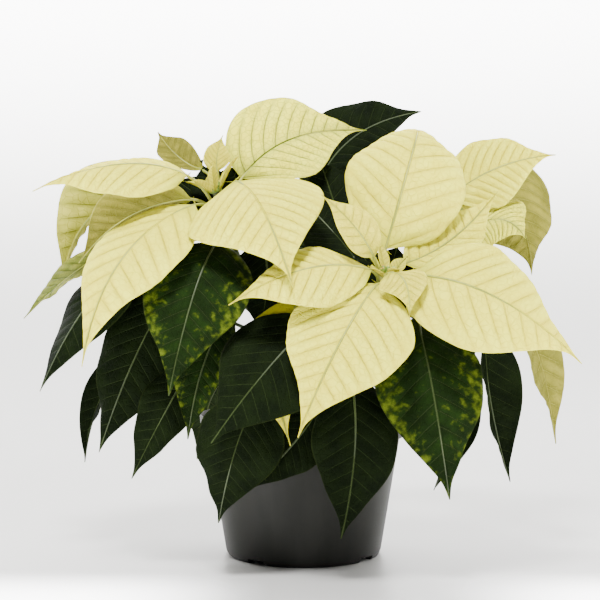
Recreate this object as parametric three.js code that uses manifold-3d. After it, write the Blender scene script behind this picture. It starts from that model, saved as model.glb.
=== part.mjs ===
// A poinsettia with cream bracts in a round black nursery pot. Millimetres, +Z up.
// The origin is the centre of the pot's foot, and the plant's best side faces -Y.
import * as THREE from "three";
import { mergeVertices } from "three/addons/utils/BufferGeometryUtils.js";
import Module from "manifold-3d";

const wasm = await Module();
wasm.setup();

// ---- Driving dimensions ----
const GAP = 0.4; // between pieces that touch
const POT = {
  height: 104,
  footRadius: 57,
  bodyTopRadius: 72,
  rimBottomZ: 88,
  rimBottomRadius: 75.5,
  rimTopRadius: 77.5,
  wall: 1.6,
  cornerRadius: 4,
  footRingWidth: 7,
  recess: 2.5, // how far the base is raised inside the foot ring
  padRadius: 13, // a flat pad at the base's centre, level with the foot ring
  drainCount: 4,
  drainTurn: 53, // degrees from +X to the first drain notch
  drainWidth: 15,
  drainHeight: 3.5,
  sides: 48,
};
const SOIL = { topZ: 91, dome: 2, holeRadius: 8.2, holeZ: 45, sides: 40 };
const MAIN_STEM = { points: [[0, 0, 46], [0.5, 0.5, 84], [0, 0, 122]], radii: [7, 6.2] };
const BRANCH_RADII = [3.6, 2.3];
const STALK = { radius: 1.3, groove: 0.45 }; // a leaf's own stalk, grooved on top
const BLADE = { halfThickness: 0.45, tipHalfWidth: 0.5 };
const STALK_RINGS = [0, 0.5];
// Where the rings of a blade lie along it, from its base to its tip.
const BLADE_RINGS = [0, 0.06, 0.16, 0.3, 0.44, 0.58, 0.72, 0.84, 0.93, 1];
const SIDES = 8; // points round a stem, stalk or blade
const FLOWER = { cup: 3, spread: 4.4, count: 5, discRadius: 5, discHeight: 5 };

// ---- Materials ----
const paint = (color, roughness) =>
  new THREE.MeshStandardMaterial({ color, roughness, metalness: 0 });
const MATERIALS = {
  pot: paint(0x2b2c2a, 0.45),
  soil: paint(0x2a1c12, 1),
  stem: paint(0x5f7a34, 0.7),
  flower: paint(0x8fae2c, 0.5),
  bract: paint(0xf3edb4, 0.6),
  leaf: paint(0x16301a, 0.45),
};

// ---- Curves and branches ----
const vec = (p) => new THREE.Vector3(...p);

// A smooth curve through three points.
function throughThree([a, b, c]) {
  const control = vec(b).multiplyScalar(2);
  control.addScaledVector(vec(a), -0.5).addScaledVector(vec(c), -0.5);
  return new THREE.QuadraticBezierCurve3(vec(a), control, vec(c));
}

// Each branch rises from the top of the main stem to a flower head.
const BRANCHES = {
  left: throughThree([[-7, -1, 124], [-38, -8, 192], [-65, -12, 268]]),
  front: throughThree([[6, -6, 124], [38, -42, 158], [58, -68, 205]]),
  right: throughThree([[8, 3, 124], [72, 24, 184], [118, 46, 254]]),
  back: throughThree([[-1, 8, 124], [-8, 48, 180], [-16, 82, 244]]),
};

// ---- Leaves and bracts ----
// on: the branch, and how far along it the stalk leaves. path: base, middle and tip of the midrib.
// face: where the upper side looks. width: across the widest place, which is belly of the way along.
// fold and curl: degrees that each half is raised, at the midrib and more towards the edge.
const BRACTS = {
  left_front: {
    on: ["left", 0.93], width: 105, fold: -10, curl: -8, belly: 0.3, round: 0.4,
    path: [[-49, -28, 275], [-28, -78, 252], [-7, -112, 199]], face: [0, -0.9, 0.5],
  },
  left_upper: {
    on: ["left", 0.95], width: 82, fold: 8, curl: 0,
    path: [[-46, 0, 279], [-8, 16, 310], [49, 40, 319]], face: [0, -0.85, 0.5],
  },
  left_low: {
    on: ["left", 0.88], width: 78, fold: -6, curl: -6, belly: 0.35,
    path: [[-79, -29, 258], [-128, -70, 216], [-151, -88, 145]], face: [-0.3, -0.7, 0.65],
  },
  left_side: {
    on: ["left", 0.95], width: 68, fold: -8, curl: -12,
    path: [[-85, -18, 280], [-134, -24, 288], [-200, -8, 269]], face: [-0.1, -0.5, 0.9],
  },
  left_curled: {
    on: ["left", 0.9], width: 70, fold: 6, curl: 24,
    path: [[-86, 8, 266], [-156, 32, 259], [-188, 42, 198]], face: [-0.5, 0.5, 0.75],
  },
  left_inner: {
    on: ["left", 0.86], width: 62, fold: 6, curl: 8,
    path: [[-82, -15, 263], [-129, -8, 251], [-168, 4, 216]], face: [-0.4, 0.5, 0.7],
  },
  left_rear: {
    on: ["left", 0.94], width: 28, fold: 8, curl: 6, belly: 0.62,
    path: [[-76, 8, 286], [-95, 20, 297], [-111, 26, 316]], face: [-0.2, -0.6, 0.8],
  },
  left_top: {
    on: ["left", 0.93], width: 22, fold: 16, curl: 10,
    path: [[-64, -4, 284], [-64, -3, 296], [-60, 2, 311]], face: [0.1, -0.9, 0.3],
  },
  left_turning: {
    on: ["left", 0.74], width: 46, fold: 4, curl: 4,
    path: [[-132, 22, 236], [-176, 20, 208], [-212, 16, 174]], face: [-0.4, -0.4, 0.8],
  },
  left_back: {
    on: ["left", 0.88], width: 62, fold: -4, curl: -6,
    path: [[-72, 16, 266], [-92, 66, 280], [-112, 116, 264]], face: [-0.2, 0.2, 1],
  },
  front_upright: {
    on: ["front", 0.9], width: 95, fold: -6, curl: -14, belly: 0.3, round: 0.5,
    path: [[58, -50, 226], [80, -26, 300], [87, 39, 314]], face: [0, -0.85, 0.45],
  },
  front_left: {
    on: ["front", 0.9], width: 62, fold: -14, curl: -4, belly: 0.45,
    path: [[46, -79, 211], [2, -97, 212], [-51, -89, 187]], face: [-0.15, -0.68, 0.68],
  },
  front_low: {
    on: ["front", 0.88], width: 90, fold: -6, curl: -4,
    path: [[50, -85, 201], [23, -124, 163], [-4, -130, 102]], face: [-0.15, -0.75, 0.65],
  },
  front_right: {
    on: ["front", 0.9], width: 94, fold: -6, curl: -2, round: 0.42,
    path: [[75, -78, 207], [128, -102, 193], [192, -74, 146]], face: [0.2, -0.8, 0.6],
  },
  front_small: {
    on: ["front", 0.92], width: 36, fold: -12, curl: 0, belly: 0.32, round: 0.42,
    path: [[59, -90, 209], [68, -104, 202], [70, -112, 179]], face: [0.1, -0.95, 0.3],
  },
  front_tongue: {
    on: ["front", 0.95], width: 27, fold: 8, curl: 6,
    path: [[48, -77, 220], [34, -86, 241], [12, -80, 262]], face: [0.4, -0.8, -0.2],
  },
  front_rear: {
    on: ["front", 0.88], width: 46, fold: 4, curl: 4,
    path: [[71, -56, 215], [107, -38, 234], [142, -18, 268]], face: [0, -0.7, 0.7],
  },
  right_upper: {
    on: ["right", 0.94], width: 62, fold: 2, curl: -6,
    path: [[112, 32, 266], [148, 26, 289], [191, 18, 298]], face: [0, -0.85, 0.5],
  },
  right_round: {
    on: ["right", 0.92], width: 90, fold: -4, curl: -8, belly: 0.52, round: 0.5,
    path: [[126, 60, 258], [166, 74, 260], [183, 74, 207]], face: [0.1, -0.95, 0.3],
  },
  right_drooping: {
    on: ["right", 0.88], width: 54, fold: -6, curl: -6, belly: 0.5, round: 0.42,
    path: [[124, 26, 240], [148, 8, 249], [166, 0, 234]], face: [0.2, -0.9, 0.5],
  },
  right_hanging: {
    on: ["right", 0.78], width: 42, fold: 8, curl: 10, belly: 0.6,
    path: [[142, 10, 206], [170, -4, 160], [187, -8, 82]], face: [0.6, -0.75, 0.3],
  },
  right_back: {
    on: ["right", 0.84], width: 60, fold: -6, curl: -6,
    path: [[104, 76, 250], [104, 126, 260], [112, 172, 230]], face: [0.1, 0.3, 1],
  },
  back_rear: {
    on: ["back", 0.9], width: 76, fold: -6, curl: -8,
    path: [[-18, 106, 250], [-30, 152, 254], [-44, 190, 220]], face: [0, 0.4, 1],
  },
  back_left: {
    on: ["back", 0.88], width: 64, fold: -6, curl: -6,
    path: [[-38, 92, 248], [-84, 122, 250], [-128, 146, 222]], face: [-0.2, 0.3, 1],
  },
  back_right: {
    on: ["back", 0.88], width: 66, fold: -6, curl: -6,
    path: [[4, 94, 248], [40, 124, 258], [76, 158, 236]], face: [0.2, 0.3, 1],
  },
  back_front: {
    on: ["back", 0.9], width: 46, fold: 4, curl: -6,
    path: [[-4, 52, 247], [24, 20, 248], [44, -2, 238]], face: [0, -0.3, 1],
  },
  low_cream: {
    on: ["front", 0.55], width: 54, fold: -4, curl: -4,
    path: [[-2, -52, 188], [-18, -84, 150], [-9, -104, 93]], face: [-0.1, -1, 0.2],
  },
};
const LEAVES = {
  top_leaf: {
    on: ["back", 0.8], width: 74, fold: 4, curl: -4,
    path: [[8, 60, 268], [38, 68, 315], [93, 62, 336]], face: [-0.2, -0.8, 0.5],
  },
  far_left_leaf: {
    on: ["left", 0.7], width: 64, fold: -8, curl: -6,
    path: [[-112, 2, 232], [-158, -10, 188], [-193, -20, 122]], face: [-0.4, -0.6, 0.6],
  },
  left_leaf: {
    on: ["left", 0.42], width: 68, fold: -4, curl: -6,
    path: [[-94, -8, 200], [-122, -30, 148], [-148, -32, 79]], face: [-0.3, -0.9, 0.3],
  },
  left_tucked_leaf: {
    on: ["left", 0.3], width: 32, fold: 14, curl: 12,
    path: [[-128, 30, 160], [-156, 26, 112], [-167, 22, 64]], face: [-0.7, -0.6, 0.2],
  },
  left_mottled_leaf: {
    on: ["left", 0.6], width: 78, fold: 4, curl: -6,
    path: [[-62, -42, 230], [-76, -76, 194], [-92, -88, 125]], face: [-0.1, -0.85, 0.5],
  },
  left_wavy_leaf: {
    on: ["left", 0.12], width: 42, fold: 4, curl: 4,
    path: [[-78, -42, 146], [-98, -58, 110], [-121, -58, 64]], face: [-0.3, -0.9, 0.3],
  },
  middle_mottled_leaf: {
    on: ["left", 0.25], width: 42, fold: 8, curl: 4,
    path: [[-52, -48, 182], [-70, -70, 144], [-80, -76, 94]], face: [-0.3, -0.9, 0.25],
  },
  middle_leaf: {
    on: ["front", 0.42], width: 82, fold: -4, curl: -4,
    path: [[10, -70, 178], [-23, -98, 146], [-62, -106, 95]], face: [-0.3, -0.9, 0.35],
  },
  pot_left_leaf: {
    on: ["left", 0.04], width: 62, fold: -4, curl: -6,
    path: [[-30, -84, 126], [-46, -98, 90], [-58, -92, 39]], face: [-0.2, -0.95, 0.2],
  },
  pot_middle_leaf: {
    on: ["front", 0.08], width: 42, fold: -4, curl: -4,
    path: [[12, -84, 118], [-8, -92, 92], [-38, -86, 60]], face: [-0.1, -0.95, 0.2],
  },
  pot_front_leaf: {
    on: ["front", 0.3], width: 60, fold: -4, curl: -6,
    path: [[32, -82, 140], [34, -108, 92], [25, -100, 30]], face: [0, -0.98, 0.15],
  },
  right_mottled_leaf: {
    on: ["front", 0.6], width: 76, fold: -4, curl: -4,
    path: [[78, -74, 178], [86, -106, 130], [97, -110, 58]], face: [0.1, -0.9, 0.35],
  },
  right_folded_leaf: {
    on: ["right", 0.42], width: 50, fold: 26, curl: 10,
    path: [[134, -8, 172], [136, -24, 119], [151, -22, 56]], face: [0.6, -0.7, 0.2],
  },
  right_curled_leaf: {
    on: ["right", 0.2], width: 34, fold: 16, curl: 14,
    path: [[112, -2, 142], [114, -8, 98], [95, -24, 50]], face: [0.3, -0.9, 0.1],
  },
  right_small_leaf: {
    on: ["right", 0.06], width: 24, fold: 6, curl: 6,
    path: [[74, -36, 120], [88, -44, 104], [88, -44, 74]], face: [0.4, -0.8, 0.2],
  },
  centre_leaf: {
    on: ["left", 0.5], width: 64, fold: -4, curl: -4,
    path: [[-30, -32, 232], [-26, -45, 203], [-32, -42, 166]], face: [0, -0.95, 0.3],
  },
  behind_leaf: {
    on: ["front", 0.7], width: 56, fold: -4, curl: -4,
    path: [[66, -44, 190], [92, -54, 199], [122, -48, 205]], face: [0, -0.95, 0.3],
  },
  inner_leaf: {
    on: ["front", 0.75], width: 50, fold: 2, curl: 0,
    path: [[40, -44, 214], [22, -24, 238], [0, -2, 262]], face: [0, -0.8, 0.6],
  },
  rear_left_leaf: {
    on: ["back", 0.5], width: 66, fold: -4, curl: -6,
    path: [[-62, 84, 200], [-106, 112, 176], [-138, 128, 112]], face: [-0.5, 0.6, 0.6],
  },
  rear_right_leaf: {
    on: ["right", 0.5], width: 66, fold: -4, curl: -6,
    path: [[96, 76, 200], [124, 116, 172], [138, 134, 108]], face: [0.5, 0.6, 0.6],
  },
  rear_middle_leaf: {
    on: ["back", 0.3], width: 68, fold: -4, curl: -6,
    path: [[6, 92, 178], [8, 134, 154], [12, 154, 90]], face: [0, 0.9, 0.5],
  },
  rear_low_leaf: {
    on: ["back", 0.12], width: 54, fold: -4, curl: -6,
    path: [[-50, 70, 132], [-74, 98, 110], [-88, 108, 54]], face: [-0.5, 0.8, 0.3],
  },
};
const BRACT_SHAPE = { belly: 0.4, round: 0.6, taper: 2.2 };
const LEAF_SHAPE = { belly: 0.42, round: 0.7, taper: 1.7 };

// Half the width at u along the blade, as a share of the widest half.
function bladeOutline(u, { belly, round, taper }) {
  if (u <= belly) return Math.sin((Math.PI / 2) * (u / belly)) ** round;
  const v = (u - belly) / (1 - belly);
  return (1 - v ** 2.2) ** taper;
}

// The curve from a branch to the blade's base, meeting the blade in line.
function stalkCurve(leaf, blade) {
  const [branchName, along] = leaf.on;
  const branch = BRANCHES[branchName];
  const axis = branch.getTangent(along);
  const heart = branch.getPoint(along);
  const base = blade.getPoint(0);
  const out = base.clone().sub(heart);
  out.addScaledVector(axis, -out.dot(axis)).normalize();
  const branchRadius = THREE.MathUtils.lerp(...BRANCH_RADII, along);
  const start = heart.addScaledVector(out, branchRadius + STALK.radius + GAP);
  const reach = start.distanceTo(base) * 0.45;
  const bend = base.clone().addScaledVector(blade.getTangent(0), -reach);
  return new THREE.QuadraticBezierCurve3(start, bend, base);
}

// The rings from a leaf's stalk to its tip: where each is, how it is turned and how large it is.
function leafRings(leaf, usualShape) {
  const shape = { ...usualShape, ...leaf };
  const blade = throughThree(leaf.path);
  const stalk = stalkCurve(leaf, blade);
  const across = blade.getTangent(0.5).cross(vec(leaf.face)).normalize();
  const ringAt = (centre, along, size) => {
    const side = across.clone().addScaledVector(along, -across.dot(along)).normalize();
    const up = side.clone().cross(along);
    return { centre, side, up, ...size };
  };
  const stalkSize = { halfWidth: STALK.radius, halfHeight: STALK.radius, fold: 0, curl: 0 };
  const rings = STALK_RINGS.map((u) =>
    ringAt(stalk.getPoint(u), stalk.getTangent(u), { ...stalkSize, groove: STALK.groove }),
  );
  for (const u of BLADE_RINGS) {
    const outline = Math.max(0, bladeOutline(u, shape));
    const size = u === 0 ? { ...stalkSize, groove: STALK.groove } : {
      halfWidth: Math.max((leaf.width / 2) * outline, BLADE.tipHalfWidth),
      halfHeight: THREE.MathUtils.lerp(STALK.radius * 0.7, BLADE.halfThickness, Math.min(1, 2 * u)),
      fold: THREE.MathUtils.degToRad(leaf.fold),
      curl: THREE.MathUtils.degToRad(leaf.curl),
      groove: 1,
    };
    rings.push(ringAt(blade.getPoint(u), blade.getTangent(u), size));
  }
  return rings;
}

// Bends a unit cylinder over a list of rings: its x runs across and its z through the thickness.
function loft(rings) {
  const solid = new THREE.CylinderGeometry(1, 1, 1, SIDES, rings.length - 1);
  const spots = solid.getAttribute("position");
  for (let i = 0; i < spots.count; i++) {
    const x = spots.getX(i);
    const z = spots.getZ(i);
    const { centre, side, up, halfWidth, halfHeight, fold, curl, groove } =
      rings[Math.round((spots.getY(i) + 0.5) * (rings.length - 1))];
    const angle = fold + curl * Math.abs(x);
    const onTop = z > 0.9; // the point over the midrib
    const height = halfWidth * Math.abs(x) * Math.sin(angle) + halfHeight * z * (onTop ? groove : 1);
    const spot = centre.clone();
    spot.addScaledVector(side, halfWidth * x * Math.cos(angle)).addScaledVector(up, height);
    spots.setXYZ(i, spot.x, spot.y, spot.z);
  }
  return solid;
}

// A round stem along a curve, narrowing from one radius to the other.
function stemGeometry(curve, [from, to], steps) {
  const rings = [];
  for (let i = 0; i <= steps; i++) {
    const u = i / steps;
    const along = curve.getTangent(u);
    const side = new THREE.Vector3(1, 0, 0).cross(along).normalize();
    const radius = THREE.MathUtils.lerp(from, to, u);
    const size = { halfWidth: radius, halfHeight: radius, fold: 0, curl: 0, groove: 1 };
    rings.push({ centre: curve.getPoint(u), side, up: side.clone().cross(along), ...size });
  }
  return loft(rings);
}

// ---- Booleans ----
function toSolid(geometry) {
  const bare = new THREE.BufferGeometry();
  bare.setAttribute("position", geometry.getAttribute("position").clone());
  bare.setIndex(geometry.index);
  const merged = mergeVertices(bare, 1e-3);
  return new wasm.Manifold(
    new wasm.Mesh({
      numProp: 3,
      vertProperties: merged.getAttribute("position").array,
      triVerts: new Uint32Array(merged.index.array),
    }),
  );
}

function toGeometry(solid) {
  const { vertProperties, triVerts } = solid.getMesh();
  const geometry = new THREE.BufferGeometry();
  geometry.setAttribute("position", new THREE.BufferAttribute(vertProperties, 3));
  return geometry.setIndex(new THREE.BufferAttribute(triVerts, 1));
}

// ---- Pot and soil ----
// A profile of [radius, z] pairs turned about Z.
function turned(profile, sides) {
  const points = profile.map(([r, z]) => new THREE.Vector2(r, z));
  return new THREE.LatheGeometry(points, sides).rotateX(Math.PI / 2);
}

const innerFloorZ = POT.recess + POT.wall;
const innerRimRadius = POT.rimTopRadius - POT.wall;

function potGeometry() {
  const p = POT;
  const foot = p.footRadius;
  const profile = [
    [0, 0],
    [p.padRadius, 0],
    [p.padRadius + 1.5, p.recess],
    [foot - p.footRingWidth, p.recess],
    [foot - p.footRingWidth + 1.5, 0],
    [foot - p.cornerRadius * 0.5, 0],
    [foot, p.cornerRadius * 0.4],
    [foot + 1, p.cornerRadius],
    [p.bodyTopRadius, p.rimBottomZ],
    [p.rimBottomRadius, p.rimBottomZ],
    [p.rimTopRadius, p.height],
    [innerRimRadius, p.height],
    [p.rimBottomRadius - p.wall, p.rimBottomZ + 3],
    [p.bodyTopRadius - p.wall, p.rimBottomZ - 2],
    [foot + 1 - p.wall, innerFloorZ + 3],
    [foot - 3, innerFloorZ],
    [0, innerFloorZ],
  ];
  let solid = toSolid(turned(profile, p.sides));
  for (let i = 0; i < p.drainCount; i++) {
    const notch = new THREE.BoxGeometry(p.footRingWidth * 2, p.drainWidth, p.drainHeight * 2);
    notch.translate(foot - p.footRingWidth / 2, 0, 0);
    notch.rotateZ(THREE.MathUtils.degToRad(p.drainTurn - 90) + (i * 2 * Math.PI) / p.drainCount);
    solid = solid.subtract(toSolid(notch));
  }
  return toGeometry(solid);
}

function soilGeometry() {
  const bottomZ = innerFloorZ + GAP;
  const wallGap = POT.wall + GAP + 0.3;
  const topRadius = THREE.MathUtils.mapLinear(
    SOIL.topZ, POT.rimBottomZ - 2, POT.rimBottomZ + 3,
    POT.bodyTopRadius, POT.rimBottomRadius,
  ) - wallGap;
  const profile = [
    [0, bottomZ],
    [POT.footRadius - 4.5, bottomZ],
    [POT.footRadius + 1 - wallGap, bottomZ + 3.5],
    [POT.bodyTopRadius - wallGap, POT.rimBottomZ - 2],
    [topRadius - 0.6, SOIL.topZ - 1],
    [topRadius * 0.6, SOIL.topZ + SOIL.dome * 0.6],
    [SOIL.holeRadius, SOIL.topZ + SOIL.dome],
    [SOIL.holeRadius, SOIL.holeZ],
    [0, SOIL.holeZ],
  ];
  return turned(profile, SOIL.sides);
}

// ---- Flowers ----
// A tight cluster of green cups on a low disc, pointing along the branch's end.
function flowerGeometry(branch) {
  const { cup, spread, count, discRadius, discHeight } = FLOWER;
  const disc = new THREE.CylinderGeometry(discRadius, 2.2, discHeight, 10);
  disc.rotateX(Math.PI / 2);
  let solid = toSolid(disc);
  for (let i = 0; i <= count; i++) {
    const ball = new THREE.SphereGeometry(cup, 7, 5).scale(1, 1, 1.25).rotateX(Math.PI / 2);
    const turn = (i * 2 * Math.PI) / count;
    const out = i === count ? 0 : spread;
    ball.translate(out * Math.cos(turn), out * Math.sin(turn), cup * (i === count ? 0.8 : 0.9));
    solid = solid.add(toSolid(ball));
  }
  const along = branch.getTangent(1);
  const turnUp = new THREE.Quaternion().setFromUnitVectors(new THREE.Vector3(0, 0, 1), along);
  const seat = branch.getPoint(1).addScaledVector(along, discHeight / 2 + GAP);
  const geometry = toGeometry(solid).applyQuaternion(turnUp);
  return geometry.translate(seat.x, seat.y, seat.z);
}

// ---- The plant ----
const plant = new THREE.Group();
function addPiece(name, geometry, material) {
  const mesh = new THREE.Mesh(geometry, MATERIALS[material]);
  mesh.name = name;
  plant.add(mesh);
}

addPiece("nursery_pot", potGeometry(), "pot");
addPiece("potting_soil", soilGeometry(), "soil");
addPiece("main_stem", stemGeometry(throughThree(MAIN_STEM.points), MAIN_STEM.radii, 5), "stem");
for (const [name, curve] of Object.entries(BRANCHES)) {
  addPiece(`branch_${name}`, stemGeometry(curve, BRANCH_RADII, 9), "stem");
  addPiece(`flowers_${name}`, flowerGeometry(curve), "flower");
}
for (const [name, bract] of Object.entries(BRACTS))
  addPiece(`bract_${name}`, loft(leafRings(bract, BRACT_SHAPE)), "bract");
for (const [name, leaf] of Object.entries(LEAVES))
  addPiece(name, loft(leafRings(leaf, LEAF_SHAPE)), "leaf");

export default plant;
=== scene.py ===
import math
import random

import bpy
import numpy as np
from mathutils import Matrix, Vector


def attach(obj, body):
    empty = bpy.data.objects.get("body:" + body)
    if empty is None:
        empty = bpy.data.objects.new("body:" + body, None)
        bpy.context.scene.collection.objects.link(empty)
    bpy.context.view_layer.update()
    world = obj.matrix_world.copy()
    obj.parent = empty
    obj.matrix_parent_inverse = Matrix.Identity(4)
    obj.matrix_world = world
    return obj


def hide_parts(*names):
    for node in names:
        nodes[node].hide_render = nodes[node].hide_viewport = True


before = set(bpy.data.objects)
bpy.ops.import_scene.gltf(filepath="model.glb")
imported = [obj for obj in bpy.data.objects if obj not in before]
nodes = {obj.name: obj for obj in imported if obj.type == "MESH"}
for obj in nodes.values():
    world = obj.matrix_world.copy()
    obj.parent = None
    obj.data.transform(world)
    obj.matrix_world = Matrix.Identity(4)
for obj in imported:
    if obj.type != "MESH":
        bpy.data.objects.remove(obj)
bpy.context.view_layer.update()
print("frame loaded:", len(nodes), "nodes")


# Shader sums: a Wire is a socket that adds, multiplies and mixes like a number.
class Wire:
    def __init__(self, tree, socket):
        self.tree = tree
        self.socket = socket

    def add(self, kind, settings={}, inputs={}, out=0):
        node = self.tree.nodes.new(kind)
        for name, value in settings.items():
            setattr(node, name, value)
        for name, value in inputs.items():
            if isinstance(value, Wire):
                self.tree.links.new(value.socket, node.inputs[name])
            else:
                node.inputs[name].default_value = value
        return Wire(self.tree, node.outputs[out])

    def sums(self, operation, *values):
        return self.add("ShaderNodeMath", {"operation": operation}, dict(enumerate(values)))

    def __add__(self, other):
        return self.sums("ADD", self, other)

    def __radd__(self, other):
        return self.sums("ADD", other, self)

    def __sub__(self, other):
        return self.sums("SUBTRACT", self, other)

    def __rsub__(self, other):
        return self.sums("SUBTRACT", other, self)

    def __mul__(self, other):
        return self.sums("MULTIPLY", self, other)

    def __rmul__(self, other):
        return self.sums("MULTIPLY", other, self)

    def __truediv__(self, other):
        return self.sums("DIVIDE", self, other)

    def __rtruediv__(self, other):
        return self.sums("DIVIDE", other, self)

    def __pow__(self, other):
        return self.sums("POWER", self, other)

    def __abs__(self):
        return self.sums("ABSOLUTE", self)

    # 0 below low, 1 above high, smooth between; low may be the larger
    def step(self, low, high):
        flip = low > high
        values = {"Value": self, "From Min": min(low, high), "From Max": max(low, high)}
        values.update({"To Min": 1.0 if flip else 0.0, "To Max": 0.0 if flip else 1.0})
        return self.add("ShaderNodeMapRange", {"interpolation_type": "SMOOTHSTEP"}, values)

    # this wire picks between two colours
    def mix(self, first, second):
        settings = {"data_type": "RGBA", "clamp_factor": True}
        return self.add("ShaderNodeMix", settings, {0: self, 6: first, 7: second}, 2)


def newMaterial(name):
    material = bpy.data.materials.new(name)
    material.use_nodes = True
    tree = material.node_tree
    skin = tree.nodes["Principled BSDF"]
    return material, Wire(tree, None), skin


def plug(wire, skin, name):
    wire.tree.links.new(wire.socket, skin.inputs[name])


def rgb(r, g, b):
    return (r, g, b, 1.0)


# ---- leaf materials: the blade's own maps say where the veins run ----
# "veins" map: across and along the blade in sixteenths of the spacing between side veins.
# "share" map: 0 to 1 from edge to edge, and 0 to 1 from base to tip.
veinRise = 0.62  # how far a side vein climbs for each step outwards
veinBow = 0.055  # and how much it bends towards the tip


def veinMasks(w):
    veins = w.add("ShaderNodeUVMap", {"uv_map": "veins"})
    share = w.add("ShaderNodeUVMap", {"uv_map": "share"})
    across = w.add("ShaderNodeSeparateXYZ", inputs={0: veins}, out=0)
    along = w.add("ShaderNodeSeparateXYZ", inputs={0: veins}, out=1)
    s = w.add("ShaderNodeSeparateXYZ", inputs={0: share}, out=0) * 2 - 1
    t = w.add("ShaderNodeSeparateXYZ", inputs={0: share}, out=1)
    u = (across - 0.5) * 16
    v = along * 16
    right = u.sums("GREATER_THAN", u, 0.0)
    out = abs(u)
    phase = v - out * veinRise - out * out * veinBow + right * 0.42
    nearest = abs(phase.sums("FRACT", phase) - 0.5)
    edge = abs(s)
    side = nearest.step(0.06, 0.012) * edge.step(1.0, 0.5)
    # the band along each side vein and the broad one along the midrib: partly the veins' own tint, partly
    # painted shade of the puckered surface
    veinTintAndShade = nearest.step(0.34, 0.03)
    midrib = out.step(0.09, 0.02)
    midribTintAndShade = out.step(0.9, 0.0)
    place = w.add("ShaderNodeCombineXYZ", inputs={0: u, 1: v, 2: 0.0})
    web = w.add(
        "ShaderNodeTexVoronoi",
        {"feature": "DISTANCE_TO_EDGE"},
        {"Vector": place, "Scale": 2.6, "Randomness": 0.9},
    )
    net = web.step(0.09, 0.0)
    spots = w.add("ShaderNodeTexNoise", inputs={"Vector": place, "Scale": 0.55, "Detail": 5.0})
    fine = w.add("ShaderNodeTexNoise", inputs={"Vector": place, "Scale": 9.0, "Detail": 3.0})
    patches = w.add("ShaderNodeTexNoise", inputs={"Vector": place, "Scale": 2.1, "Detail": 6.0})
    return {
        "side": side, "veinTintAndShade": veinTintAndShade, "midrib": midrib, "midribTintAndShade": midribTintAndShade, "net": net,
        "spots": spots, "fine": fine, "patches": patches, "edge": edge, "t": t,
        "nearest": nearest,
    }


def translucentPart(material, w, skin, colour, amount):
    tree = material.node_tree
    glow = tree.nodes.new("ShaderNodeBsdfTranslucent")
    tree.links.new(colour.socket, glow.inputs["Color"])
    both = tree.nodes.new("ShaderNodeMixShader")
    both.inputs[0].default_value = amount
    tree.links.new(skin.outputs[0], both.inputs[1])
    tree.links.new(glow.outputs[0], both.inputs[2])
    tree.links.new(both.outputs[0], tree.nodes["Material Output"].inputs["Surface"])


def bladeMaterial(name, look):
    material, w, skin = newMaterial(name)
    m = veinMasks(w)
    body = m["spots"].step(0.35, 0.65).mix(look["dark"], look["light"])
    if "mottle" in look:
        blotch = m["patches"] + m["spots"] * 0.7 + m["nearest"] * 0.22 + m["edge"] * 0.28
        body = (blotch - 0.16).step(*look["mottleAt"]).mix(body, look["mid"])
        body = blotch.step(*look["mottleAt"]).mix(body, look["mottle"])
    # darker colour along the veins and the midrib: partly vein tint, partly painted shade in the creases
    body = (m["veinTintAndShade"] * look["veinTintAndShadeStrength"]).mix(body, look["veinTintAndShade"])
    body = (m["midribTintAndShade"] * look["midribTintAndShadeStrength"]).mix(body, look["veinTintAndShade"])
    body = (m["net"] * look["netStrength"]).mix(body, look["vein"])
    body = (m["side"] * look["sideStrength"]).mix(body, look["vein"])
    body = (m["midrib"] * look["midribStrength"]).mix(body, look["midrib"])
    rim = m["edge"].step(0.955, 1.0) * look["rimStrength"]
    body = rim.mix(body, look["rim"])
    body = (m["t"].step(0.16, 0.0) * look["baseStrength"]).mix(body, look["base"])
    plug(body, skin, "Base Color")
    rough = look["roughness"] + m["fine"] * 0.12 - m["side"] * 0.05
    plug(rough, skin, "Roughness")
    skin.inputs["Specular IOR Level"].default_value = look["specular"]
    relief = m["fine"] * 0.15 - m["net"] * 0.5 * look["relief"] - m["side"] * 1.2 * look["relief"]
    relief = relief - m["midrib"] * 1.6 * look["relief"]
    bumps = {"Height": relief, "Strength": look["bump"], "Distance": 0.0007}
    plug(w.add("ShaderNodeBump", inputs=bumps), skin, "Normal")
    if look["translucent"] > 0:
        translucentPart(material, w, skin, body, look["translucent"])
    return material


creamLook = {
    "light": rgb(0.95, 0.92, 0.08),
    "dark": rgb(0.91, 0.84, 0.055),
    "veinTintAndShade": rgb(0.80, 0.69, 0.045),
    "vein": rgb(0.66, 0.57, 0.035),
    "midrib": rgb(0.60, 0.55, 0.04),
    "rim": rgb(0.95, 0.92, 0.14),
    "base": rgb(0.50, 0.52, 0.04),
    "veinTintAndShadeStrength": 0.55,
    "midribTintAndShadeStrength": 0.35,
    "netStrength": 0.16,
    "sideStrength": 0.32,
    "midribStrength": 0.6,
    "rimStrength": 0.3,
    "baseStrength": 0.6,
    "roughness": 0.62,
    "specular": 0.08,
    "relief": 1.0,
    "bump": 0.9,
    "translucent": 0.16,
}
greenVeinLook = {
    **creamLook,
    "veinTintAndShade": rgb(0.50, 0.52, 0.08),
    "vein": rgb(0.16, 0.22, 0.03),
    "midrib": rgb(0.06, 0.12, 0.01),
    "base": rgb(0.14, 0.20, 0.02),
    "veinTintAndShadeStrength": 0.35,
    "midribTintAndShadeStrength": 0.5,
    "netStrength": 0.25,
    "sideStrength": 0.6,
    "midribStrength": 0.95,
}
turningLook = {
    **greenVeinLook,
    "light": rgb(0.30, 0.31, 0.05),
    "dark": rgb(0.16, 0.19, 0.03),
    "veinTintAndShade": rgb(0.10, 0.14, 0.02),
    "vein": rgb(0.05, 0.08, 0.01),
    "rim": rgb(0.42, 0.42, 0.10),
    "netStrength": 0.35,
    "sideStrength": 0.7,
}
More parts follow.
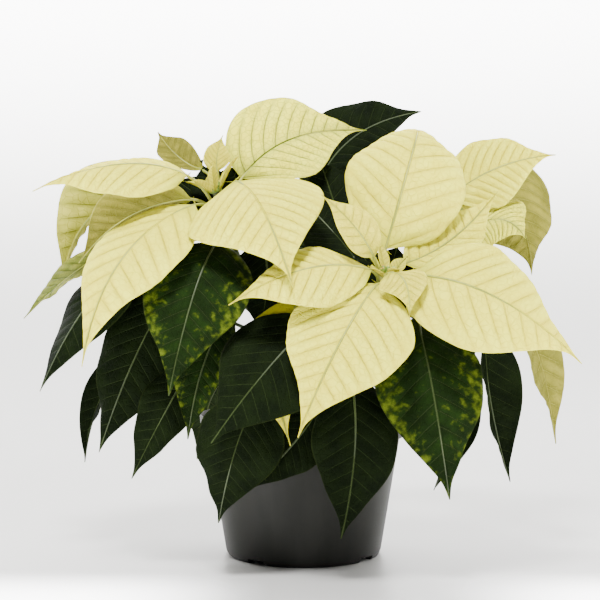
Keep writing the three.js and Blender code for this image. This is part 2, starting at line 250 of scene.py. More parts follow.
# painted shade: the bract underside finish is a dark olive, as undersides look in shade, with paler veins and
# rim
shadedUndersideLook = {
    **creamLook,
    "light": rgb(0.36, 0.33, 0.05),
    "dark": rgb(0.22, 0.21, 0.03),
    "veinTintAndShade": rgb(0.17, 0.165, 0.02),
    "vein": rgb(0.46, 0.43, 0.08),
    "midrib": rgb(0.46, 0.43, 0.08),
    "rim": rgb(0.75, 0.71, 0.18),
    "sideStrength": 0.55,
    "relief": -1.0,
    "translucent": 0.3,
}
# painted shade: a darker copy of the bract finish, for bracts that lie in shade
shadedCreamLook = {
    **shadedUndersideLook,
    "light": rgb(0.62, 0.59, 0.10),
    "dark": rgb(0.42, 0.41, 0.055),
    "veinTintAndShade": rgb(0.28, 0.29, 0.03),
    "vein": rgb(0.22, 0.24, 0.025),
    "midrib": rgb(0.70, 0.66, 0.14),
    "veinTintAndShadeStrength": 0.4,
    "sideStrength": 0.6,
}
# painted shade: a darker, deeper gold copy of the cream finish, for bracts in shade
shadedGoldLook = {
    **creamLook,
    "light": rgb(0.88, 0.81, 0.08),
    "dark": rgb(0.78, 0.69, 0.055),
    "veinTintAndShade": rgb(0.56, 0.50, 0.03),
    "vein": rgb(0.36, 0.35, 0.02),
    "veinTintAndShadeStrength": 0.35,
}
darkLook = {
    "light": rgb(0.0050, 0.0095, 0.0020),
    "dark": rgb(0.0026, 0.0052, 0.0014),
    "veinTintAndShade": rgb(0.0045, 0.0085, 0.0020),
    "vein": rgb(0.022, 0.034, 0.010),
    "midrib": rgb(0.042, 0.060, 0.020),
    "rim": rgb(0.018, 0.026, 0.005),
    "base": rgb(0.06, 0.08, 0.015),
    "veinTintAndShadeStrength": 0.25,
    "midribTintAndShadeStrength": 0.1,
    "netStrength": 0.04,
    "sideStrength": 0.55,
    "midribStrength": 0.85,
    "rimStrength": 0.5,
    "baseStrength": 0.3,
    "roughness": 0.62,
    "specular": 0.03,
    "relief": 1.0,
    "bump": 0.8,
    "translucent": 0.01,
}
mottledLook = {
    **darkLook,
    "light": rgb(0.0075, 0.020, 0.0025),
    "dark": rgb(0.0040, 0.010, 0.0016),
    "mid": rgb(0.018, 0.042, 0.003),
    "mottle": rgb(0.085, 0.115, 0.008),
    "mottleAt": (1.06, 1.42),
    "translucent": 0.04,
}
darkUnderLook = {
    **darkLook,
    "light": rgb(0.030, 0.048, 0.018),
    "dark": rgb(0.022, 0.036, 0.013),
    "vein": rgb(0.08, 0.11, 0.045),
    "midrib": rgb(0.13, 0.17, 0.06),
    "relief": -1.0,
    "roughness": 0.7,
}
bladeMaterials = {
    "cream": bladeMaterial("creamBract", creamLook),
    "greenVein": bladeMaterial("greenVeinedBract", greenVeinLook),
    "turning": bladeMaterial("turningBract", turningLook),
    "shadedUnderside": bladeMaterial("shadedBractUnderside", shadedUndersideLook),
    "shell": bladeMaterial("shadedBract", shadedCreamLook),
    "shadedGold": bladeMaterial("shadedGoldBract", shadedGoldLook),
    "dark": bladeMaterial("darkLeaf", darkLook),
    "mottled": bladeMaterial("mottledLeaf", mottledLook),
    "darkUnder": bladeMaterial("leafUnderside", darkUnderLook),
}


def stalkMaterial(name, fresh, aged):
    material, w, skin = newMaterial(name)
    place = w.add("ShaderNodeTexCoord", out=3)
    streak = w.add("ShaderNodeTexNoise", inputs={"Vector": place, "Scale": 260.0, "Detail": 3.0})
    patch = w.add("ShaderNodeTexNoise", inputs={"Vector": place, "Scale": 35.0, "Detail": 2.0})
    colour = (patch * 0.7 + streak * 0.3).step(0.35, 0.65).mix(fresh, aged)
    plug(colour, skin, "Base Color")
    plug(0.4 + streak * 0.15, skin, "Roughness")
    bumps = {"Height": streak, "Strength": 0.3, "Distance": 0.0004}
    plug(w.add("ShaderNodeBump", inputs=bumps), skin, "Normal")
    return material


paleStalk = stalkMaterial("bractStalk", rgb(0.42, 0.42, 0.05), rgb(0.26, 0.29, 0.03))
greenStalk = stalkMaterial("leafStalk", rgb(0.04, 0.06, 0.012), rgb(0.025, 0.04, 0.010))
stemSkin = stalkMaterial("stemSkin", rgb(0.06, 0.09, 0.02), rgb(0.04, 0.05, 0.015))
print("leaf materials ready")


# ---- reading a stem or leaf back from the frame ----
# Each one is a chain of eight-sided rings between two end points.
def readRings(cadObject):
    mesh = cadObject.data
    places = {}
    index = []
    for v in mesh.vertices:
        key = tuple(round(c * 2e5) for c in v.co)
        index.append(places.setdefault(key, len(places)))
    points = np.zeros((len(places), 3))
    for v, i in zip(mesh.vertices, index):
        points[i] = v.co
    linked = [set() for _ in places]
    for face in mesh.polygons:
        loop = [index[i] for i in face.vertices]
        for a, b in zip(loop, loop[1:] + loop[:1]):
            linked[a].add(b)
            linked[b].add(a)
    ends = [i for i, near in enumerate(linked) if len(near) == 8]
    rings = [sorted(linked[ends[0]])]
    seen = {ends[0], *rings[0]}
    while True:
        beyond = {j for i in rings[-1] for j in linked[i]} - seen - {ends[1]}
        if not beyond:
            break
        rings.append(sorted(beyond))
        seen |= beyond
    ordered = []
    for ring in rings:
        walk = [ring[0]]
        while len(walk) < 8:
            onward = [j for j in linked[walk[-1]] if j in ring and j not in walk]
            walk.append(onward[0])
        ordered.append(points[walk])
    return ordered


def ringSize(ring):
    return np.linalg.norm(ring - ring.mean(0), axis=1).mean()


def unit(v):
    return v / (np.linalg.norm(v) + 1e-12)


# A leaf's stalk, and five points across the middle sheet of each blade ring.
# The root ring has one point pressed in, on the stalk's upper side, which tells top from under.
def readLeaf(cadObject):
    rings = readRings(cadObject)
    if ringSize(rings[0]) < ringSize(rings[-1]):
        rings.reverse()
    centres = [ring.mean(0) for ring in rings]
    root = rings[0]
    groove = root[np.argmin(np.linalg.norm(root - centres[0], axis=1))]
    side = np.cross(centres[1] - centres[0], groove - centres[0])
    stalk = centres[:3]
    rows = []
    for k in range(2, len(rings)):
        ring = rings[k]
        along = unit(centres[min(k + 1, len(rings) - 1)] - centres[k - 1])
        side = unit(side - along * side.dot(along))
        up = np.cross(side, along)
        if 2 < k < len(rings) - 1:
            gaps = np.linalg.norm(ring[:4] - ring[4:], axis=1)
            first = int(np.argmax(gaps))
            turn = np.roll(ring, -first, axis=0)
            if (turn[2] - turn[6]).dot(up) < 0:
                turn = np.roll(turn[::-1], 1, axis=0)
            if (turn[0] - turn[4]).dot(side) > 0:
                turn = np.array([turn[4], turn[3], turn[2], turn[1], turn[0], turn[7], turn[6], turn[5]])
            middle = (turn[2] + turn[6]) / 2
            row = [turn[0], (turn[1] + turn[7]) / 2, middle, (turn[3] + turn[5]) / 2, turn[4]]
        else:
            width = 0.0012 if k == 2 else 0.0003
            row = [centres[k] + side * width * x for x in (-1, -0.707, 0, 0.707, 1)]
        rows.append(row)
    return stalk, np.array(rows)


# A smooth curve through values at uneven stations.
def through(stations, values, wanted):
    slopes = np.gradient(values, stations, axis=0)
    k = np.clip(np.searchsorted(stations, wanted, side="right") - 1, 0, len(stations) - 2)
    gap = (stations[k + 1] - stations[k])
    u = (wanted - stations[k]) / gap
    shape = (-1,) + (1,) * (values.ndim - 1)
    u = u.reshape(shape)
    gap = gap.reshape(shape)
    a, b = values[k], values[k + 1]
    return (
        (2 * u**3 - 3 * u**2 + 1) * a
        + (u**3 - 2 * u**2 + u) * gap * slopes[k]
        + (3 * u**2 - 2 * u**3) * b
        + (u**3 - u**2) * gap * slopes[k + 1]
    )


def deselect():
    bpy.ops.object.select_all(action="DESELECT")


def tubeAlong(points, radii, name, sides=2, steps=3):
    deselect()
    bpy.ops.curve.primitive_bezier_curve_add()
    tube = bpy.context.object
    tube.name = name
    bpy.ops.object.mode_set(mode="EDIT")
    if len(points) > 2:
        bpy.ops.curve.subdivide(number_cuts=len(points) - 2)
    bpy.ops.object.mode_set(mode="OBJECT")
    spline = tube.data.splines[0]
    for knot, place, radius in zip(spline.bezier_points, points, radii):
        knot.handle_left_type = knot.handle_right_type = "AUTO"
        knot.co = Vector(place)
        knot.radius = radius * 1000
    tube.data.resolution_u = steps
    tube.data.bevel_depth = 0.001
    tube.data.bevel_resolution = sides
    tube.data.use_fill_caps = True
    bpy.ops.object.convert(target="MESH")
    return bpy.context.object


# ---- a blade: a fine grid laid over the five-point rows ----
def addBlade(name, rows, look, topMaterial, underMaterial):
    chance = random.Random(name)
    columns, lines = look["grid"]
    deselect()
    bpy.ops.mesh.primitive_grid_add(
        x_subdivisions=columns, y_subdivisions=lines, size=2, calc_uvs=True
    )
    blade = bpy.context.object
    blade.name = name
    mesh = blade.data
    count = len(mesh.vertices)
    flat = np.zeros(count * 3)
    mesh.vertices.foreach_get("co", flat)
    flat = flat.reshape(-1, 3)
    s, t = flat[:, 0], (flat[:, 1] + 1) / 2

    middle = rows[:, 2]
    far = np.concatenate([[0], np.cumsum(np.linalg.norm(np.diff(middle, axis=0), axis=1))])
    length = far[-1]
    spacing = length / look["veinPairs"]

    def surface(s, t):
        across = through(far, rows, np.clip(t, 0, 1) * length)
        x = np.abs(s)
        left = s < 0
        outer = np.where(left[:, None], across[:, 0], across[:, 4])
        half = np.where(left[:, None], across[:, 1], across[:, 3])
        centre = across[:, 2]
        # the curve through centre, half way (0.707) and edge
        bend = (half - centre - 0.707 * (outer - centre)) / (0.707 * 0.707 - 0.707)
        x = x[:, None]
        return centre + x * (outer - centre) + (x * x - x) * bend

    # ragged outline: low lobes and teeth, the same on no two leaves
    phases = [chance.uniform(0, 6.28) for _ in range(8)]
    sign = np.where(s < 0, 1.0, -1.0)
    wobble = np.sin(t * look["lobes"] * 6.28 + phases[0] + sign * phases[1])
    wobble = wobble + 0.5 * np.sin(t * look["lobes"] * 13.7 + phases[2] + sign * phases[3])
    width = 1 + look["ragged"] * wobble * np.clip(np.abs(s) * 2 - 1, 0, 1) * np.sin(np.pi * t)
    place = surface(s * width, t)

    tiny = 0.004
    ahead = surface(s, np.minimum(t + tiny, 1)) - surface(s, np.maximum(t - tiny, 0))
    beside = surface(np.minimum(s + tiny, 1), t) - surface(np.maximum(s - tiny, -1), t)
    normal = np.cross(beside, ahead)
    normal /= np.linalg.norm(normal, axis=1, keepdims=True) + 1e-12
    ahead /= np.linalg.norm(ahead, axis=1, keepdims=True) + 1e-12

    # the base runs back in two rounded lobes beside the stalk
    back = look["baseLobe"] * np.abs(s) ** 1.5 * np.exp(-((t / 0.14) ** 2))
    halfWidth = np.linalg.norm(place - surface(np.zeros(count), t), axis=1)
    widest = halfWidth.max()
    place = place - ahead * (back * widest)[:, None]

    b = halfWidth / spacing
    a = t * length / spacing
    phase = a - b * veinRise - b * b * veinBow + (s > 0) * 0.42
    fromVein = np.abs((phase % 1) - 0.5) * 2  # 0 on a vein, 1 between two
    inward = np.clip((np.abs(s) - 0.04) / 0.3, 0, 1)
    ends = np.clip(np.minimum(t / 0.1, (1 - t) / 0.12), 0, 1)
    room = np.clip(halfWidth / 0.012, 0, 1)
    puff = (np.sin(fromVein * np.pi / 2) ** 0.8 - 0.5) * (1 - 0.8 * np.abs(s) ** 3)
    quilt = look["quilting"] * puff * inward * ends * room
    groove = -look["groove"] * np.exp(-((halfWidth / 0.0011) ** 2)) * ends
    ripple = np.sin(phase * 3.14 * look["rippleRate"] + phases[4] + sign * phases[5])
    ripple = ripple + 0.6 * np.sin(a * 1.9 + phases[6] * sign)
    wave = look["wave"] * np.abs(s) ** 2.6 * ripple * ends * room
    sway = look["sway"] * np.sin(t * 5.1 + phases[7]) * ends
    place = place + normal * (quilt + groove + wave + sway)[:, None]

    mesh.vertices.foreach_set("co", place.ravel())
    mesh.uv_layers[0].name = "veins"
    share = mesh.uv_layers.new(name="share")
    corner = np.zeros(len(mesh.loops), np.int32)
    mesh.loops.foreach_get("vertex_index", corner)
    signed = np.where(s < 0, -halfWidth, halfWidth)
    first = np.stack([0.5 + signed / spacing / 16, a / 16], 1)[corner]
    second = np.stack([(s + 1) / 2, t], 1)[corner]
    mesh.uv_layers["veins"].data.foreach_set("uv", first.ravel().astype(np.float32))
    share.data.foreach_set("uv", second.ravel().astype(np.float32))
    mesh.update()
    for material in (topMaterial, underMaterial):
        mesh.materials.append(material)
    thick = blade.modifiers.new("thick", "SOLIDIFY")
    thick.thickness = look["thickness"]
    thick.offset = 0
    thick.material_offset = 1
    bpy.ops.object.modifier_apply(modifier="thick")
    bpy.ops.object.shade_smooth()
    return blade


def joined(first, *others):
    deselect()
    for piece in (*others, first):
        piece.select_set(True)
    bpy.context.view_layer.objects.active = first
    bpy.ops.object.join()
    return first


bractShape = {
    "grid": (40, 84),
    "veinPairs": 11,
    "thickness": 0.0004,
    "quilting": 0.0024,
    "groove": 0.0006,
    "wave": 0.0011,
    "rippleRate": 0.4,
    "sway": 0.0006,
    "ragged": 0.014,
    "lobes": 1.6,
    "baseLobe": 0.16,
}
leafShape = {
    **bractShape,
    "veinPairs": 12,
    "quilting": 0.0009,
    "wave": 0.0012,
    "ragged": 0.012,
    "lobes": 1.4,
}
smallShape = {
    **bractShape,
    "grid": (20, 40),
    "veinPairs": 8,
    "quilting": 0.0003,
    "wave": 0.0005,
    "sway": 0.0002,
    "baseLobe": 0.0,
}
youngShape = {**smallShape, "grid": (14, 28)}
# what is unusual about single leaves: (upper side, under side)
finishes = {
    "bract_left_upper": ("greenVein", "shadedUnderside"),
    "bract_left_turning": ("turning", "turning"),
    "bract_left_rear": ("shadedUnderside", "shadedUnderside"),
    "bract_left_top": ("shadedGold", "shadedUnderside"),
    "bract_right_drooping": ("greenVein", "turning"),
    # these three bracts take the darker shell finish: painted shade
    "bract_right_round": ("shell", "shadedUnderside"),
    "bract_left_curled": ("shell", "shell"),
    "bract_left_inner": ("shell", "shadedUnderside"),
    "bract_front_tongue": ("shadedGold", "shadedGold"),
    "bract_front_small": ("shadedGold", "shadedGold"),
    "bract_right_hanging": ("shadedUnderside", "shadedUnderside"),
    "left_mottled_leaf": ("mottled", "darkUnder"),
    "middle_mottled_leaf": ("mottled", "darkUnder"),
    "right_mottled_leaf": ("mottled", "darkUnder"),
}
smallOnes = {"bract_left_rear", "bract_left_top", "bract_front_small", "bract_front_tongue",
             "right_small_leaf"}

leafNames = [n for n in nodes if n.startswith("bract_") or n.endswith("_leaf")]
for name in leafNames:
    isBract = name.startswith("bract_")
    stalk, rows = readLeaf(nodes[name])
    shape = bractShape if isBract else leafShape
    if name in smallOnes:
        shape = smallShape
    # bracts take the dark olive underside finish underneath: painted shade
    top, under = finishes.get(name, ("cream", "shadedUnderside") if isBract else ("dark", "darkUnder"))
    blade = addBlade(name + "_blade", rows, shape, bladeMaterials[top], bladeMaterials[under])
    middle = rows[:, 2]
    upward = np.cross(rows[:, 4] - rows[:, 0], np.gradient(middle, axis=0))
    upward /= np.linalg.norm(upward, axis=1, keepdims=True) + 1e-12
    start = stalk[0] - unit(stalk[1] - stalk[0]) * 0.0016
    knots = [start, stalk[1], middle[0] - upward[0] * 0.0003]
    radii = [0.0015, 0.0012, 0.0011]
    for k in range(2, len(middle)):
        share = k / (len(middle) - 1)
        radius = 0.0009 * (1 - share) ** 0.8 + 0.00015
        knots.append(middle[k] - upward[k] * (radius * 0.75 + 0.0002))
        radii.append(radius)
    tube = tubeAlong(knots, radii, name + "_rib")
    tube.data.materials.clear()
    tube.data.materials.append(paleStalk if isBract else greenStalk)
    piece = joined(blade, tube)
    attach(piece, "root")
    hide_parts(name)
print("leaves and bracts made:", len(leafNames))


# ---- stems ----
def stemFromFrame(name, swell):
    rings = readRings(nodes[name])
    centres = [ring.mean(0) for ring in rings]
    sizes = [ringSize(ring) for ring in rings]
    if sizes[0] < sizes[-1]:
        centres.reverse()
        sizes.reverse()
    wide = [size * (1 + swell * math.sin(i * 2.4)) for i, size in enumerate(sizes)]
    stem = tubeAlong(centres, wide, name + "_skin", sides=5, steps=6)
    stem.data.materials.clear()
    stem.data.materials.append(stemSkin)
    deselect()
    stem.select_set(True)
    bpy.ops.object.shade_smooth()
    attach(stem, "root")
    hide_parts(name)
    return centres


branchEnds = {}
for name in nodes:
    if name.startswith("branch_"):
        centres = stemFromFrame(name, 0.07)
        branchEnds[name.removeprefix("branch_")] = (centres[-1], unit(centres[-1] - centres[-2]))
stemFromFrame("main_stem", 0.03)
print("stems made")


# ---- flowers: a cluster of green cups, each with a yellow gland, and narrow bractlets ----
# Dark young leaves fill the spaces round each head, partly standing in as painted shade.
flowerLook = {
    "cups": 9,
    "cupRadius": 0.0019,
    "cupLength": 1.45,
    "spread": 0.0052,
    "bractlets": 6,
    "bractletLength": 0.03,
    "bractletWidth": 0.009,
    "collarLeaves": 7,
    "collarLength": 0.034,
    "collarWidth": 0.026,
    "upright": (-1.2, -0.35, 0.3, 1.0),  # how far each one leans to the right
    "uprightLength": 0.043,
    "uprightWidth": 0.032,
    "betweenLength": 0.088,
    "betweenWidth": 0.056,
}


def waxMaterial(name, colour, second, roughness):
    material, w, skin = newMaterial(name)
    place = w.add("ShaderNodeTexCoord", out=3)
    patch = w.add("ShaderNodeTexNoise", inputs={"Vector": place, "Scale": 320.0, "Detail": 3.0})
    plug(patch.step(0.35, 0.65).mix(colour, second), skin, "Base Color")
    plug(roughness + patch * 0.1, skin, "Roughness")
    bumps = {"Height": patch, "Strength": 0.25, "Distance": 0.0003}
    plug(w.add("ShaderNodeBump", inputs=bumps), skin, "Normal")
    return material


cupSkin = waxMaterial("cupGreen", rgb(0.16, 0.26, 0.03), rgb(0.28, 0.38, 0.05), 0.35)
glandSkin = waxMaterial("glandYellow", rgb(0.75, 0.55, 0.04), rgb(0.62, 0.62, 0.08), 0.25)
pollenSkin = waxMaterial("stamenRed", rgb(0.42, 0.10, 0.03), rgb(0.60, 0.42, 0.05), 0.6)


def ball(centre, radius, stretch, direction, material):
    bpy.ops.mesh.primitive_uv_sphere_add(segments=20, ring_count=14, radius=radius)
    piece = bpy.context.object
    turn = Vector((0, 0, 1)).rotation_difference(Vector(direction)).to_matrix().to_4x4()
    scale = Matrix.Diagonal((1, 1, stretch, 1))
    piece.data.transform(Matrix.Translation(Vector(centre)) @ turn @ scale)
    piece.data.materials.append(material)
    bpy.ops.object.shade_smooth()
    return piece


# rows for a small blade that no frame node stands for; up is where its upper side looks
def freeRows(base, direction, up, length, width, droop, fold):
    rows = []
    for k in range(10):
        u = k / 9
        centre = base + direction * length * u + up * (droop * length * (u - u * u) * 2)
        along = unit(direction + up * droop * (1 - 2 * u) * 2)
        side = unit(np.cross(along, up))
        lift = np.cross(side, along)
        half = width / 2 * (math.sin(math.pi * min(1, u / 0.9 + 0.05)) ** 0.8 if u < 0.9 else 0.1)
        row = []
        for x in (-1, -0.707, 0, 0.707, 1):
            row.append(centre + side * half * x + lift * half * abs(x) * fold)
        rows.append(row)
    return np.array(rows)


fullTurn = 6.283
spiralTurn = 2.4  # from one cup to the next
viewerUp = np.array((0, -1, 0.4))


def facing(aim, wanted):
    return unit(wanted - aim * aim.dot(wanted))


for head, (end, direction) in branchEnds.items():
    look = flowerLook
    chance = random.Random("flowers " + head)
    sideways = unit(np.cross(direction, (0.3, 1.0, 0.2)))
    forward = np.cross(sideways, direction)
    parts = [ball(end + direction * 0.0012, 0.0042, 0.55, direction, cupSkin)]
    for i in range(look["cups"]):
        turn = i * spiralTurn
        far = look["spread"] * math.sqrt(i / look["cups"]) * chance.uniform(0.9, 1.1)
        out = sideways * math.cos(turn) + forward * math.sin(turn)
        size = look["cupRadius"] * chance.uniform(0.85, 1.15)
        lean = unit(direction + out * far * 90)
        seat = end + direction * 0.0034 + out * far
        parts.append(ball(seat + lean * size, size, look["cupLength"], lean, cupSkin))
        lip = seat + lean * size * 2.2
        parts.append(ball(lip, size * 0.5, 0.6, lean, pollenSkin if i % 3 else glandSkin))
        gland = seat + lean * size * 1.7 + out * size * 0.75
        parts.append(ball(gland, size * 0.42, 0.7, out, glandSkin))
    cluster = joined(*parts)
    cluster.name = "flowers_" + head + "_cups"
    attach(cluster, "root")
    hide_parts("flowers_" + head)
    for i in range(look["bractlets"]):
        turn = i * fullTurn / look["bractlets"] + chance.uniform(-0.3, 0.3)
        out = sideways * math.cos(turn) + forward * math.sin(turn)
        rise = chance.uniform(0.45, 1.1)
        aim = unit(direction * rise + out)
        length = look["bractletLength"] * chance.uniform(0.7, 1.15)
        width = look["bractletWidth"] * chance.uniform(0.8, 1.2)
        base = end + direction * 0.0005 + out * 0.0042
        rows = freeRows(base, aim, facing(aim, direction), length, width, 0.1, 0.35)
        # every other bractlet takes the darker gold finish on top, and all take it underneath: painted shade
        kind = "shadedGold" if i % 2 else "greenVein"
        name = "bractlet_" + head + "_" + str(i + 1)
        leaflet = addBlade(name, rows, youngShape, bladeMaterials[kind], bladeMaterials["shadedGold"])
        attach(leaflet, "root")
    # dark young leaves fill the spaces between the bract stalks, partly standing in as painted shade
    young = []
    for i in range(look["collarLeaves"]):
        turn = (i + 0.5) * fullTurn / look["collarLeaves"] + chance.uniform(-0.15, 0.15)
        out = sideways * math.cos(turn) + forward * math.sin(turn)
        aim = unit(out - direction * 0.3)
        length = look["collarLength"] * chance.uniform(0.85, 1.1)
        base = end - direction * 0.013 + out * 0.0032
        up = facing(aim, direction)
        young.append(freeRows(base, aim, up, length, look["collarWidth"], 0.12, 0.1))
    for lean in look["upright"]:
        aim = unit(np.array((lean, 0.35, 0.9)))
        base = end - direction * 0.013 + np.array((lean * 0.003, 0.007, 0))
        up = facing(aim, viewerUp)
        young.append(freeRows(base, aim, up, look["uprightLength"], look["uprightWidth"], 0, 0.1))
    if head == "front":
        # one larger dark leaf stands between this head and the left one, partly as painted shade in that gap
        aim = unit(np.array((-0.27, 0.42, 0.86)))
        base = end + np.array((-0.024, 0.048, 0.020))
        up = facing(aim, viewerUp)
        young.append(freeRows(base, aim, up, look["betweenLength"], look["betweenWidth"], 0, 0.1))
    for i, rows in enumerate(young):
        name = "young_leaf_" + head + "_" + str(i + 1)
        leaflet = addBlade(name, rows, youngShape, bladeMaterials["dark"], bladeMaterials["darkUnder"])
        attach(leaflet, "root")
print("flowers made")


# ---- nursery pot: a circle drawn up into the wall, over the lip and down inside ----
potLook = {
    "sides": 144,
    "colour": rgb(0.0075, 0.0078, 0.0060),
    "worn": rgb(0.0115, 0.0118, 0.0095),
    "roughness": 0.4,
    "specular": 0.25,
}
potProfile = [
    (0.0015, 0.0), (0.013, 0.0), (0.0145, 0.0025), (0.049, 0.0025), (0.0513, 0.0006), (0.0520, 0.0),
    (0.0548, 0.0), (0.0562, 0.0005), (0.0571, 0.0019), (0.0579, 0.0040), (0.0716, 0.0872),
    (0.0722, 0.0880), (0.0750, 0.0882), (0.0755, 0.0887), (0.0773, 0.1018), (0.0775, 0.1030),
    (0.0773, 0.1037), (0.0768, 0.1040), (0.0763, 0.1037), (0.0760, 0.1030), (0.0739, 0.0910),
    (0.0704, 0.0860), (0.0567, 0.0071), (0.0540, 0.0042), (0.0015, 0.0041),
]
deselect()
bpy.ops.mesh.primitive_circle_add(vertices=potLook["sides"], radius=potProfile[0][0])
pot = bpy.context.object
pot.name = "nursery_pot_shell"
bpy.ops.object.mode_set(mode="EDIT")
bpy.ops.mesh.select_all(action="SELECT")
for (r0, z0), (r1, z1) in zip(potProfile, potProfile[1:]):
    bpy.ops.mesh.extrude_region_move(TRANSFORM_OT_translate={"value": (0, 0, z1 - z0)})
    grow = r1 / r0
    bpy.ops.transform.resize(value=(grow, grow, 1), center_override=(0, 0, 0))
bpy.ops.mesh.edge_face_add()
bpy.ops.mesh.select_all(action="DESELECT")
bpy.ops.mesh.select_mode(type="EDGE")
bpy.ops.mesh.select_non_manifold()
bpy.ops.mesh.edge_face_add()
bpy.ops.mesh.select_all(action="SELECT")
bpy.ops.mesh.normals_make_consistent(inside=False)
bpy.ops.object.mode_set(mode="OBJECT")
for turn in (-37, 53, 143, 233):
    a = math.radians(turn)
    bpy.ops.mesh.primitive_cube_add(
        size=1, location=(0.0535 * math.cos(a), 0.0535 * math.sin(a), 0), rotation=(0, 0, a),
        scale=(0.014, 0.015, 0.007),
    )
    notch = bpy.context.object
    cut = pot.modifiers.new("cut", "BOOLEAN")
    cut.operation = "DIFFERENCE"
    cut.solver = "EXACT"
    cut.object = notch
    bpy.context.view_layer.objects.active = pot
    bpy.ops.object.modifier_apply(modifier="cut")
    bpy.data.objects.remove(notch)
deselect()
pot.select_set(True)
bpy.ops.object.shade_smooth_by_angle(angle=math.radians(35))

potSkin, w, skin = newMaterial("potPlastic")
skin.inputs["Specular IOR Level"].default_value = potLook["specular"]
place = w.add("ShaderNodeTexCoord", out=3)
stretched = w.add("ShaderNodeMapping", inputs={"Vector": place, "Scale": (60.0, 60.0, 4.0)})
streaks = w.add("ShaderNodeTexNoise", inputs={"Vector": stretched, "Scale": 1.0, "Detail": 4.0})
grain = w.add("ShaderNodeTexNoise", inputs={"Vector": place, "Scale": 900.0, "Detail": 3.0})
dust = w.add("ShaderNodeTexNoise", inputs={"Vector": place, "Scale": 40.0, "Detail": 5.0})
plug((streaks * 0.6 + dust * 0.4).step(0.4, 0.62).mix(potLook["colour"], potLook["worn"]), skin, "Base Color")
plug(potLook["roughness"] + streaks * 0.08 + grain * 0.08, skin, "Roughness")
bumps = {"Height": grain * 0.3 + streaks * 0.4, "Strength": 0.12, "Distance": 0.0004}
plug(w.add("ShaderNodeBump", inputs=bumps), skin, "Normal")
pot.data.materials.append(potSkin)
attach(pot, "root")
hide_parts("nursery_pot")
print("pot made")


# ---- potting soil: a disc of crumbs, with bits of bark and perlite on it ----
soilLook = {
    "rings": 40,
    "crumbHeight": 0.0016,
    "lumps": 260,
    "perlite": 45,
}
deselect()
bpy.ops.mesh.primitive_cylinder_add(
    vertices=96, radius=0.0552, depth=0.084, location=(0, 0, 0.0465), end_fill_type="NGON"
)
soil = bpy.context.object
soil.name = "potting_soil_body"
bpy.ops.object.transform_apply(location=True)
bpy.ops.object.mode_set(mode="EDIT")
bpy.ops.mesh.select_mode(type="FACE")
bpy.ops.mesh.select_all(action="DESELECT")
bpy.ops.object.mode_set(mode="OBJECT")
for face in soil.data.polygons:
    face.select = face.normal.z > 0.9
bpy.ops.object.mode_set(mode="EDIT")
bpy.ops.transform.resize(value=(1.262, 1.262, 1), center_override=(0, 0, 0))
bpy.ops.mesh.extrude_region_move(TRANSFORM_OT_translate={"value": (0, 0, 0.003)})
bpy.ops.transform.resize(value=(1.043, 1.043, 1), center_override=(0, 0, 0))
for i in range(soilLook["rings"]):
    bpy.ops.mesh.inset(thickness=0.0017, depth=0)
bpy.ops.object.mode_set(mode="OBJECT")
chance = random.Random("soil")
for v in soil.data.vertices:
    r = math.hypot(v.co.x, v.co.y)
    if v.co.z > 0.091 and r < 0.0715:
        a = math.atan2(v.co.y, v.co.x)
        rough = math.sin(v.co.x * 900 + 3 * math.sin(v.co.y * 700)) * math.sin(v.co.y * 820)
        rough = rough * 0.5 + chance.uniform(-0.7, 0.7)
        v.co.z += soilLook["crumbHeight"] * rough * 0.5 + 0.0012 * math.sin(a * 3 + r * 90)
lumps = []
for i in range(soilLook["lumps"] + soilLook["perlite"]):
    white = i >= soilLook["lumps"]
    r = 0.069 * math.sqrt(chance.uniform(0.012, 1))
    a = chance.uniform(0, 6.283)
    size = chance.uniform(0.0009, 0.0016) if white else chance.uniform(0.0009, 0.0027)
    bpy.ops.mesh.primitive_ico_sphere_add(
        subdivisions=2, radius=size, location=(r * math.cos(a), r * math.sin(a), 0.0925 + size * 0.4),
        rotation=(chance.uniform(0, 3), chance.uniform(0, 3), chance.uniform(0, 3)),
        scale=(1, chance.uniform(0.45, 1), chance.uniform(0.4, 0.8)),
    )
    lump = bpy.context.object
    for v in lump.data.vertices:
        v.co *= 1 + chance.uniform(-0.16, 0.16)
    lumps.append((lump, white))


def crumbMaterial(name, dark, light, roughness):
    material, w, skin = newMaterial(name)
    place = w.add("ShaderNodeTexCoord", out=3)
    grain = w.add("ShaderNodeTexNoise", inputs={"Vector": place, "Scale": 420.0, "Detail": 6.0})
    plug(grain.step(0.35, 0.68).mix(dark, light), skin, "Base Color")
    plug(roughness - grain * 0.1, skin, "Roughness")
    bumps = {"Height": grain, "Strength": 0.9, "Distance": 0.001}
    plug(w.add("ShaderNodeBump", inputs=bumps), skin, "Normal")
    return material


peat = crumbMaterial("peat", rgb(0.010, 0.006, 0.004), rgb(0.060, 0.034, 0.018), 1.0)
perlite = crumbMaterial("perlite", rgb(0.55, 0.53, 0.48), rgb(0.78, 0.76, 0.72), 0.9)
soil.data.materials.append(peat)
for lump, white in lumps:
    lump.data.materials.append(perlite if white else peat)
soil = joined(soil, *[lump for lump, white in lumps])
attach(soil, "root")
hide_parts("potting_soil")
print("soil made")


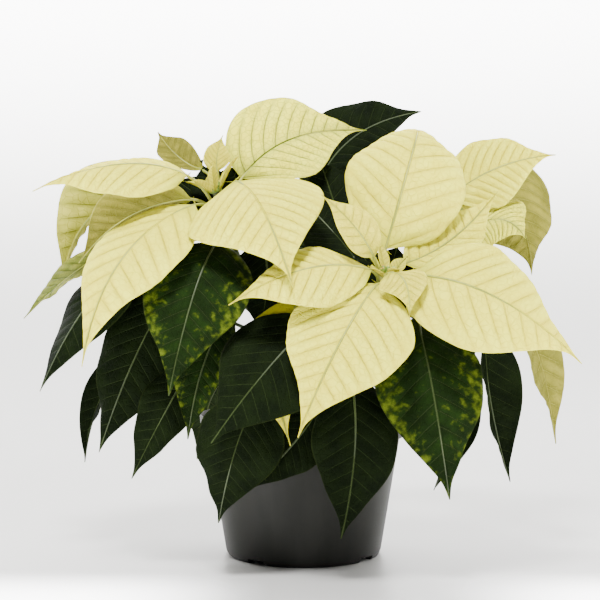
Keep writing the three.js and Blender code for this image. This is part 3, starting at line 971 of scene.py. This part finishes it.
# ---- floor, lights and camera ----
# One pale sheet: level under the pot, swept up into a wall behind it.
stageLook = {
    "halfWidth": 4,
    "length": 6,
    "frontEdge": -2.4,
    "bendAt": 0.55,
    "bendRadius": 1.0,
    "front": rgb(0.86, 0.855, 0.845),
    # painted shadow: the darker floor colour round the pot's foot and behind it
    "under": rgb(0.50, 0.495, 0.48),
    # painted light: how strongly the front floor, the sweep and the wall glow
    "frontPaintedLight": 6.0,
    "sweepPaintedLight": 0.6,
    "wallPaintedLight": 10.0,
}
deselect()
bpy.ops.mesh.primitive_grid_add(x_subdivisions=24, y_subdivisions=120, size=2)
sweep = bpy.context.object
sweep.name = "backdrop"
bend = stageLook["bendAt"]
radius = stageLook["bendRadius"]
for v in sweep.data.vertices:
    far = (v.co.y + 1) / 2 * stageLook["length"] + stageLook["frontEdge"]
    turn = min(max((far - bend) / radius, 0), math.pi / 2)
    rest = max(far - bend - radius * math.pi / 2, 0)
    level = min(far, bend) + radius * math.sin(turn)
    rise = radius * (1 - math.cos(turn)) + rest
    v.co = Vector((v.co.x * stageLook["halfWidth"], level, rise))
bpy.ops.object.shade_smooth()

paper, w, skin = newMaterial("paper")
place = w.add("ShaderNodeTexCoord", out=3)
x = w.add("ShaderNodeSeparateXYZ", inputs={0: place}, out=0)
depth = w.add("ShaderNodeSeparateXYZ", inputs={0: place}, out=1)
height = w.add("ShaderNodeSeparateXYZ", inputs={0: place}, out=2)
# painted light: a paler, glowing pool on the floor in front, kept off the floor right before the pot's foot;
# the sweep and the wall glow too, more as they rise
paintedLightPool = depth.step(-0.06, -0.15) * abs(x - 0.03).step(0.05, 0.18)
plug(paintedLightPool.mix(stageLook["under"], stageLook["front"]), skin, "Base Color")
skin.inputs["Roughness"].default_value = 0.4
skin.inputs["Specular IOR Level"].default_value = 0.35
glow = paintedLightPool * stageLook["frontPaintedLight"] + depth.step(0.1, 1.0) * stageLook["sweepPaintedLight"]
glow = glow + height.step(0.05, 0.85) * stageLook["wallPaintedLight"]
brightest = 10.0
paintedLightColour = (glow / brightest).mix(rgb(0, 0, 0), rgb(1.0, 0.995, 0.985))
plug(paintedLightColour, skin, "Emission Color")
skin.inputs["Emission Strength"].default_value = brightest
sweep.data.materials.append(paper)

world = bpy.data.worlds.new("studio")
bpy.context.scene.world = world
world.use_nodes = True
world.node_tree.nodes["Background"].inputs[0].default_value = rgb(1.0, 1.0, 1.0)
world.node_tree.nodes["Background"].inputs[1].default_value = 0.14


def softbox(name, place, target, size, power):
    lamp = bpy.data.lights.new(name, "AREA")
    lamp.shape = "RECTANGLE"
    lamp.size, lamp.size_y = size
    lamp.energy = power
    box = bpy.data.objects.new(name, lamp)
    bpy.context.scene.collection.objects.link(box)
    box.location = place
    aim = Vector(target) - Vector(place)
    box.rotation_euler = aim.to_track_quat("-Z", "Y").to_euler()


softbox("topFront", (-0.25, -0.85, 1.95), (0, 0, 0.2), (0.5, 0.4), 84)
softbox("rightFill", (1.3, -1.1, 1.1), (0, 0, 0.2), (0.8, 0.8), 12)
softbox("overhead", (0.1, 0.1, 1.8), (0, 0.1, 0.2), (0.9, 0.8), 14)

camera = bpy.data.objects.new("camera", bpy.data.cameras.new("camera"))
bpy.context.scene.collection.objects.link(camera)
camera.location = (-0.0026, -0.990, 0.210)
aim = Vector((-0.0026, 0, 0.1884)) - camera.location
camera.rotation_euler = aim.to_track_quat("-Z", "Y").to_euler()
camera.data.lens = 79.7
camera.data.sensor_width = 36
bpy.context.scene.camera = camera
